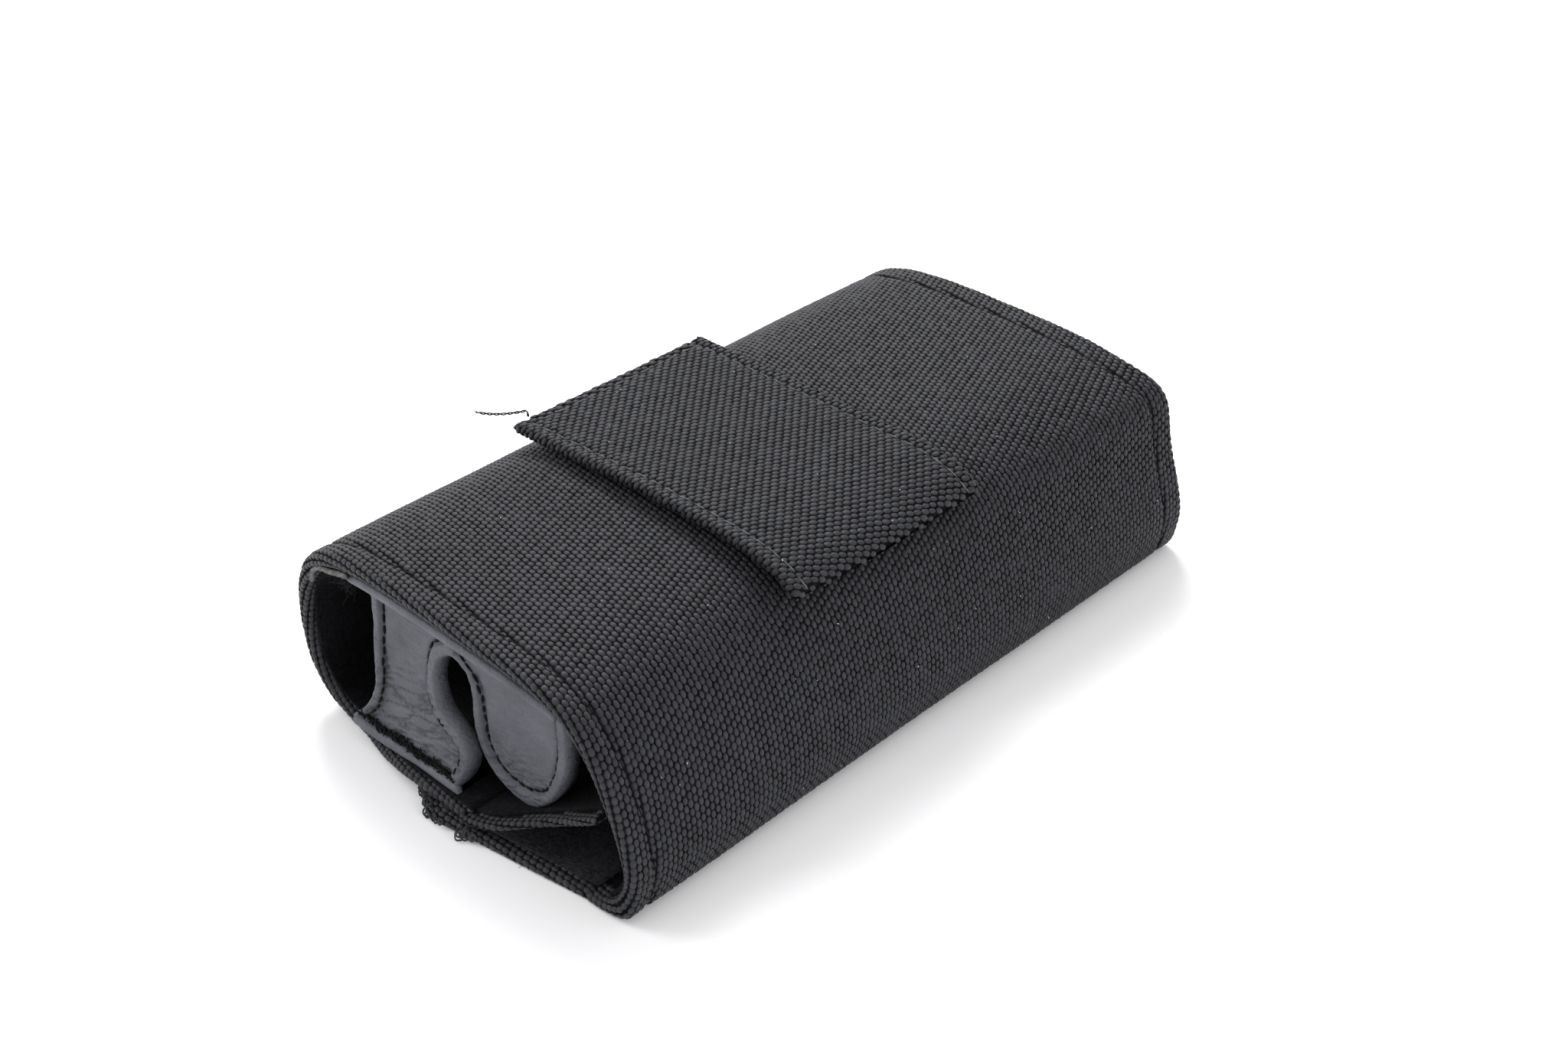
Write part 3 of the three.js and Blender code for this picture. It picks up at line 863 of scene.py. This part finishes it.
patchWeave = weaveOver("patchWeave", patchCloth, 0.0, 1.0, 2.6, 41, patch["yarnStep"], patch["rowStep"],
                       patch["floatSize"])
register(patchWeave, "nylon", "patch")
patchFull = rimWalk(patchCloth, np.zeros(1))[2]
seamRun = patch["seamIn"] + 0.49
seamEnd = patchWide - patch["seamIn"]
for seamName, ends, node in (
        ("patchNearSeam", [(1.6, seamRun), (seamEnd, seamRun)], "patch_near_thread"),
        ("patchFarSeam", [(1.6, patchFull - seamRun), (seamEnd, patchFull - seamRun)], "patch_far_thread"),
        ("patchEndSeam", [(seamEnd, seamRun), (seamEnd, patchFull - seamRun)], "patch_end_thread")):
    seam = seamOnCloth(seamName, patchCloth, ends, patch["stitch"], patch["stitch"] * 0.42, patch["stitchRadius"],
                       greyThread, -0.16, 7)
    register(seam, "thread", "patch", node)
print("patch done")

# leather: bars cut from the holder's top and bottom panels


def still(x, y, z):
    return x, y, z


def leatherBar(name, knots, thickness, front, back, settle, material, endRound):
    # a thick panel that follows a line deep into the tube, with rounded front and side edges
    line = smoothLine(knots, 0.6)
    panel = makeCloth(line, insetLine(line, thickness), front, back, (), settle, 0.06, 2.2, rim=thickness / 2,
                      groove=0.0, endRound=endRound)
    return clothBody(name, panel, material, 3.0)


topBarKnots = [(-13.3, 28.1), (-21.5, 28.75), (-30.5, 29.05), (-39.5, 29.25), (-49, 29.25), (-54, 29.15), (-58.5, 28.8)]
topPanel = leatherBar("leatherTopPanel", topBarKnots, 1.5, 0.45, tube["length"] - 7, still, paleLeatherPaintedShade, 0.8)
register(topPanel, "leather", "pouch", "leather_top_panel")
bottomBarKnots = [(-58.6, 3.0), (-57, 2.75), (-52, 2.7), (-46, 3.0), (-40, 3.1), (-33.4, 3.2)]


def settleBar(x, y, z):
    # behind the strap's foot the panel's right side runs back under the strap
    return x - (x + 60) * 0.34 * smoothStep(y, -1.2, 5), y, z


bottomPanel = leatherBar("leatherBottomPanel", bottomBarKnots, 1.7, -2.0, tube["length"] - 7, settleBar, paleLeatherPaintedShade, 0.7)
register(bottomPanel, "leather", "pouch", "leather_bottom_panel")
print("bars done")

# leather strap and tongue: panels with turned, raised borders

strapLook = {"plane": 2.0, "lean": -2.6, "top": 26.4, "foot": 6.2, "thickness": 2.0, "border": 1.75, "raise": 0.6,
             "grid": 0.3, "crease": 0.34, "stitch": 1.75, "stitchRadius": 0.22}


def strapLean(z):
    return strapLook["lean"] * np.clip((strapLook["top"] - z) / (strapLook["top"] - strapLook["foot"]), 0, 1.2)


def still2d(z):
    return np.zeros_like(np.asarray(z, float))


def lineDistance(points, line):
    a, b = line[:-1], line[1:]
    span = b - a
    share = np.clip(((points[:, None] - a) * span).sum(-1) / np.maximum((span ** 2).sum(-1), 1e-9), 0, 1)
    return np.linalg.norm(points[:, None] - (a + span * share[..., None]), axis=-1).min(axis=1)


def borderedPanel(name, outline, freeLines, seams, lean, material, seed, creaseLow, creaseHigh):
    # outline is the closed edge in x and z, freeLines are the turned edges, and seams the stitched lines
    look = strapLook
    edge = np.array(outline, float)
    inside = []
    step = look["grid"]
    low, high = edge.min(axis=0), edge.max(axis=0)
    following = np.roll(edge, -1, axis=0)
    for row, z in enumerate(np.arange(low[1] + step, high[1], step * 0.87)):
        xs = np.arange(low[0] + step * (0.5 if row % 2 else 1.0), high[0], step)
        crossing = (edge[:, 1] > z) != (following[:, 1] > z)
        at = edge[crossing, 0] + (z - edge[crossing, 1]) / (following[crossing, 1] - edge[crossing, 1]) * (
            following[crossing, 0] - edge[crossing, 0])
        inside.extend((x, z) for x in xs if (at > x).sum() % 2)
    inside = np.array(inside)
    inside = inside[lineDistance(inside, np.vstack([edge, edge[:1]])) > step * 0.6]
    flat = np.vstack([edge, inside])
    count = len(edge)
    made = geometry.delaunay_2d_cdt([Vector(point) for point in flat], [(k, (k + 1) % count) for k in range(count)], [],
                                    1, 1e-5)
    flat = np.array([tuple(point) for point in made[0]])
    triangles = [tuple(face) for face in made[2]]
    free = np.min([lineDistance(flat, np.array(line, float)) for line in freeLines], axis=0)
    seam = np.min([lineDistance(flat, np.array(line, float)) for line in seams], axis=0)
    roll = 0.75
    corner = np.clip(roll - free, 0, roll)
    height = look["raise"] * (1 - smoothStep(free, look["border"], look["border"] + 0.75))
    height = height - (roll - np.sqrt(np.maximum(roll ** 2 - corner ** 2, 0))) * 1.1
    height = height - 0.34 * np.exp(-(seam / 0.36) ** 2)
    crease = np.array([noise.fractal(Vector((x * 0.16 + z * 0.10 + seed, z * 0.85 - x * 0.28, seed)), 1.0, 2.1, 4)
                       for x, z in flat])
    ripple = (1 - np.abs(crease) * 2.7).clip(-1, 1)
    strength = look["crease"] * (0.18 + 0.82 * (1 - smoothStep(flat[:, 1], creaseLow, creaseHigh)))
    broad = np.array([noise.noise(Vector((x * 0.12, z * 0.12, seed + 4))) for x, z in flat]) * 0.35
    pucker = np.array([noise.noise(Vector((x * 1.1, z * 1.1, seed + 9))) for x, z in flat]) * 0.10 * (free < 3.0)
    folded = np.maximum(ripple, 0) ** 2 * smoothStep(free, 0.4, 1.2)
    # painted shade for the creases and the seam grooves, darkening the leather's colour
    depth = np.clip(0.95 * folded * strength / look["crease"] + 0.75 * np.exp(-(seam / 0.35) ** 2), 0, 1)
    height = height - strength * folded + broad + pucker
    y = look["plane"] + lean(flat[:, 1]) - height
    front = np.stack([flat[:, 0], y, flat[:, 1]], axis=1)
    back = np.stack([flat[:, 0], look["plane"] + lean(flat[:, 1]) + look["thickness"] * np.ones(len(flat)), flat[:, 1]],
                    axis=1)
    area = sum((flat[b, 0] - flat[a, 0]) * (flat[c, 1] - flat[a, 1]) - (flat[c, 0] - flat[a, 0]) * (
        flat[b, 1] - flat[a, 1]) for a, b, c in triangles)
    turned = [tuple(reversed(face)) for face in triangles] if area < 0 else triangles
    shift = len(flat)
    faces = list(turned) + [tuple(shift + index for index in reversed(face)) for face in turned]
    used = {}
    for a, b, c in turned:
        for pair in ((a, b), (b, c), (c, a)):
            used[pair] = used.get(pair, 0) + 1
    for a, b in used:
        if (b, a) not in used:
            faces.append((b, a, shift + a, shift + b))
    panel = meshObject(name, placeAll(np.vstack([front, back])), faces, material)
    layer = panel.data.attributes.new("paintedCreaseShade", "FLOAT", "POINT")
    layer.data.foreach_set("value", np.concatenate([depth, np.zeros(len(flat))]))
    return panel, flat, y


def panelStitches(name, line, flat, y, pitch, seed, radius=None, halfLength=None, sink=-0.12, spread=0.12):
    route = smoothLine(line, pitch)
    nearest = [int(np.argmin(((flat - point) ** 2).sum(axis=1))) for point in route]
    places = np.array([(point[0], y[at] + sink, point[1]) for point, at in zip(route, nearest)])
    alongs = np.gradient(places, axis=0)
    ups = np.tile([0.0, -1.0, 0.15], (len(places), 1))
    return threadBits(name, places, alongs, ups, halfLength or pitch * 0.46, radius or strapLook["stitchRadius"],
                      blackThread, 0.16, spread, seed)


def edgeLine(knots, spacing=0.35):
    return [tuple(point) for point in smoothLine(knots, spacing)]


strapLeft = edgeLine([(-54.7, 27.5), (-54.4, 24), (-54.1, 20.4), (-53.8, 14.7), (-54.1, 10.9), (-56.2, 6.9), (-59.0, 4.0)])
strapFoot = edgeLine([(-59.0, 4.0), (-50, 4.1), (-42, 4.1), (-34.6, 4.0)])
strapSlot = edgeLine([(-34.6, 4.0), (-33.3, 5.9), (-32.2, 8.2), (-31.9, 10.5), (-32.6, 12.2), (-34.1, 13.4),
                      (-36.0, 14.3), (-37.9, 15.3), (-39.1, 16.9), (-39.8, 19.0), (-39.7, 21.1), (-38.8, 23.3),
                      (-36.9, 24.9), (-35.9, 25.1)])
strapTop = edgeLine([(-35.9, 25.1), (-36.0, 27.6), (-45, 27.8), (-54.7, 27.5)], 0.5)
strapOuterSeam = edgeLine([(-52.2, 27), (-52.0, 20.7), (-51.8, 15.7), (-52.1, 11.2), (-53.2, 8.1), (-55.4, 5.6)])
strapInnerSeam = edgeLine([(-38.6, 26.6), (-41.1, 24.8), (-41.8, 22.2), (-42.0, 19.3), (-41.6, 16.5), (-40.5, 14.2),
                           (-38.8, 12.5), (-36.9, 11.5), (-35.2, 10.9), (-34.4, 9.5), (-35.1, 6.6)])
strapPanel, strapFlat, strapY = borderedPanel(
    "leatherStrap", strapLeft[:-1] + strapFoot[:-1] + strapSlot[:-1] + strapTop[:-1], [strapLeft, strapSlot],
    [strapOuterSeam, strapInnerSeam], strapLean, leather, 1.3, 12, 21)
register(strapPanel, "leather", "pouch", "leather_strap")
for seamName, line, node, seed in (("strapOuterSeam", strapOuterSeam, "strap_outer_thread", 3),
                                   ("strapInnerSeam", strapInnerSeam, "strap_inner_thread", 4)):
    seam = panelStitches(seamName, line, strapFlat, strapY, strapLook["stitch"], seed)
    register(seam, "thread", "pouch", node)

tongueLeft = edgeLine([(-36.2, 25.1), (-34.6, 24.6), (-33.3, 23.2), (-32.7, 20.8), (-32.8, 16.9), (-32.4, 12.5),
                       (-30.6, 9.3), (-27.1, 7.1), (-23.5, 6.4), (-20.3, 7.1), (-16.9, 10.1), (-14.1, 14.5),
                       (-13.0, 18.1), (-12.5, 22.6), (-12.4, 26.9)])
tongueTop = edgeLine([(-12.4, 26.9), (-22, 27.4), (-30, 27.7), (-36.3, 27.7), (-36.2, 25.1)], 0.5)
tongueSeam = edgeLine([(-35.6, 27.0), (-33.6, 25.9), (-31.4, 23.7), (-30.6, 20.4), (-30.5, 16.3), (-30.0, 12.9),
                       (-28.4, 10.6), (-25.0, 9.3), (-20.9, 9.8), (-17.7, 12.2), (-15.9, 16.1), (-15.2, 20.2),
                       (-15.0, 25.4)])
tonguePanel, tongueFlat, tongueY = borderedPanel("leatherTongue", tongueLeft[:-1] + tongueTop[:-1], [tongueLeft],
                                                 [tongueSeam], still2d, leather, 6.1, 9, 18)
tongueBlend = {"bodies": ("pouch", "tongue"),
            "start": tuple(place(-23, 2.8, 26.6)),
            "end": tuple(place(-23, 2.8, 23.6))}
register(tonguePanel, "leather", tongueBlend, "leather_tongue")
tongueStitches = panelStitches("tongueSeam", tongueSeam, tongueFlat, tongueY, strapLook["stitch"], 8)
register(tongueStitches, "thread", tongueBlend, "tongue_thread")

# the messy hand-worked seam that holds the strap's foot on the bottom panel
footSeam = {"count": 210, "from": (-57.0, 4.9), "to": (-34.6, 5.2), "spread": 0.75, "halfLength": 0.7, "radius": 0.15}
rng = np.random.default_rng(17)
share = rng.random(footSeam["count"])
footPlaces, footAlongs = [], []
for part in share:
    wander = 0.35 * math.sin(part * 17) + rng.normal(0, footSeam["spread"] * 0.5)
    x = footSeam["from"][0] + (footSeam["to"][0] - footSeam["from"][0]) * part
    z = footSeam["from"][1] + (footSeam["to"][1] - footSeam["from"][1]) * part + wander * 0.7 + 0.3
    footPlaces.append((x, 2.0 + float(strapLean(z)) - 0.25 - abs(rng.normal(0, 0.18)), z))
    footAlongs.append((1.0, rng.normal(0, 0.3), rng.normal(0, 0.9)))
footThreads = threadBits("strapFootSeam", footPlaces, footAlongs, [(0, -1, 0.3)] * len(footPlaces),
                         footSeam["halfLength"], footSeam["radius"], blackThread, 0.7, 0.5, 9)
register(footThreads, "thread", "pouch", "strap_foot_thread")
print("leather done")

# loose ends: the raw lining edge, fibres, frayed loops, lint and the stray thread


def softTube(name, routes, radius, material, sides=5, rough=0.0, seed=1):
    # thin tubes along several routes, in one mesh
    points, faces = [], []
    for number, route in enumerate(routes):
        line = np.asarray(route, float)
        along = np.gradient(line, axis=0)
        along /= np.maximum(np.linalg.norm(along, axis=1), 1e-9)[:, None]
        aside = np.cross(along, [0.31, 0.2, 0.93])
        aside /= np.maximum(np.linalg.norm(aside, axis=1), 1e-9)[:, None]
        third = np.cross(along, aside)
        base = len(points)
        for k in range(len(line)):
            thin = radius * (1 + rough * noise.noise(Vector((k * 0.7, number * 3.1, seed))))
            for side in range(sides):
                angle = side / sides * math.tau
                points.append(line[k] + aside[k] * math.cos(angle) * thin + third[k] * math.sin(angle) * thin)
        faces.extend(tuple(base + index for index in reversed(face)) for face in gridFaces(len(line), sides, True))
        faces.append(tuple(base + side for side in range(sides)))
        faces.append(tuple(base + (len(line) - 1) * sides + side for side in reversed(range(sides))))
    return meshObject(name, placeAll(np.array(points)), faces, material)


def wanderingFibres(starts, heading, reach, bend, steps, rng):
    routes = []
    for start in starts:
        way = np.array(heading, float) + rng.normal(0, bend, 3)
        way /= np.linalg.norm(way)
        spot = np.array(start, float)
        route = [spot.copy()]
        size = reach * rng.uniform(0.4, 1.0) / steps
        for _ in range(steps):
            way = way + rng.normal(0, bend * 0.5, 3)
            way /= np.linalg.norm(way)
            spot = spot + way * size
            route.append(spot.copy())
        routes.append(route)
    return routes


rawEdge = {"knots": [(-67.6, 0.5, 23.4), (-66.7, 0.4, 25.6), (-64.9, 0.3, 27.0), (-61.9, 0.2, 27.8), (-59.2, 0.2, 28.6),
                     (-57.9, 0.2, 28.9)], "radius": 0.42}
paleFibre = threadMaterial("paleFibre", (0.13, 0.128, 0.125), 0.9)
rawLine = smoothLine(rawEdge["knots"], 0.3)
rawTube = softTube("rawLiningEdge", [rawLine], rawEdge["radius"], paleFibre, 8, 0.5, 3)
register(rawTube, "raw_edge", "pouch", "lining_edge_tape")
edgeFuzz = wanderingFibres([rawLine[int(k)] + rng.normal(0, 0.15, 3) for k in rng.integers(0, len(rawLine), 70)],
                           (-0.2, -0.6, -0.5), 1.0, 0.7, 4, rng)
tangle = wanderingFibres([(rng.uniform(-60.4, -57.8), rng.uniform(0.6, 1.6), rng.uniform(26.4, 27.6)) for _ in range(40)],
                         (-0.25, -0.1, -0.9), 3.2, 0.6, 7, rng)
fibres = softTube("looseFibres", edgeFuzz + tangle, 0.024, dimThread, 3)
register(fibres, "thread", "pouch")


def loopRoute(centre, radius, tilt, turns, rng):
    angles = np.linspace(0, math.tau * turns, int(18 * turns))
    centre = np.array(centre)
    side = np.array([math.cos(tilt), math.sin(tilt), 0.3])
    other = np.array([-math.sin(tilt) * 0.4, math.cos(tilt) * 0.4, 0.9])
    wobble = rng.uniform(0.85, 1.15, len(angles))
    return [centre + radius * w * (side * math.cos(a) + other * math.sin(a)) for a, w in zip(angles, wobble)]


yarnEnds = threadMaterial("yarnEnds", (0.05, 0.051, 0.056), 0.7)
loops = []
for x, count, size in ((-40.3, 5, 0.62), (-38.2, 7, 0.72), (-36.4, 6, 0.66), (-33.8, 2, 0.35), (-29.4, 6, 0.55),
                       (-28.3, 4, 0.45)):
    for _ in range(count):
        spot = settleFlap(x + rng.normal(0, 0.45), -0.15 - abs(rng.normal(0, 0.4)), rng.uniform(0.55, 1.5))
        loops.append(loopRoute(spot, size * rng.uniform(0.7, 1.2), rng.uniform(0, 3), rng.uniform(0.9, 1.6), rng))
frayed = softTube("frayedLoops", loops, 0.14, yarnEnds, 6, 0.3, 4)
register(frayed, "thread", flapBlend)
hairStarts = [settleFlap(rng.uniform(-41.2, -40.2), rng.uniform(0, 6), rng.uniform(0.3, 1.7)) for _ in range(60)]
hairStarts += [settleFlap(x, 0.1, rng.uniform(0.2, 1.4)) for x in rng.uniform(-41, -9, 90)]
napStarts = [settleFlap(x, y, flap["thickness"] + 0.25)
             for x, y in zip(rng.uniform(-38, -3, 700), rng.uniform(2.2, 16, 700))]
flapNap = softTube("flapNap", wanderingFibres(napStarts, (-0.2, -0.5, 0.7), 0.9, 0.8, 3, rng), 0.03, yarnEnds, 3)
register(flapNap, "velvet", flapBlend)
flapHairs = softTube("flapHairs", wanderingFibres(hairStarts, (-0.4, -0.8, 0.2), 0.8, 0.7, 4, rng), 0.028, yarnEnds, 3)
register(flapHairs, "thread", flapBlend)

strayKnots = [(-65.4, 41.2, 34.6), (-66.3, 41.6, 35.0), (-67.3, 41.2, 34.6), (-69.2, 39.5, 34.2),
              (-71, 37.8, 34.2), (-72.2, 36.8, 34.4)]
strayLine = smoothLine(strayKnots, 0.16)
twist = np.linspace(0, 26, len(strayLine))
strands = [strayLine + 0.12 * np.stack([np.cos(twist + turn), np.sin(twist + turn) * 0.5, np.sin(twist + turn)], axis=1)
           for turn in (0, math.pi)]
strayEnds = wanderingFibres([strayLine[-1]] * 6, (-0.8, -0.5, 0.05), 1.5, 0.3, 5, rng)
strayThread = softTube("strayThread", strands, 0.11, blackThread, 5, 0.2, 8)
register(strayThread, "thread", "patch", "stray_thread")
strayFuzz = softTube("strayFuzz", strayEnds, 0.04, blackThread, 3)
register(strayFuzz, "thread", "patch")

lint = {"onWrap": 70, "onPatch": 22, "halfLength": 0.16, "radius": 0.05}
whiteLint = threadMaterial("whiteLint", (0.55, 0.55, 0.54), 0.9)
spots = [onCloth(wrapCloth, rng.uniform(0.03, 0.62) * wrapTotal, rng.uniform(4, 124), -0.24) for _ in range(lint["onWrap"])]
wrapLint = threadBits("wrapLint", [s[0] for s in spots], [tuple(rng.normal(0, 1, 3)) for _ in spots],
                      [s[1] for s in spots], lint["halfLength"], lint["radius"], whiteLint, 0.3, 0.6, 15)
register(wrapLint, "raw_edge", "pouch")
spots = [onCloth(patchCloth, rng.uniform(2, patchWide - 2), rng.uniform(2, 40), -0.24) for _ in range(lint["onPatch"])]
patchLint = threadBits("patchLint", [s[0] for s in spots], [tuple(rng.normal(0, 1, 3)) for _ in spots],
                       [s[1] for s in spots], lint["halfLength"], lint["radius"], whiteLint, 0.3, 0.6, 16)
register(patchLint, "raw_edge", "patch")
print("loose ends done")
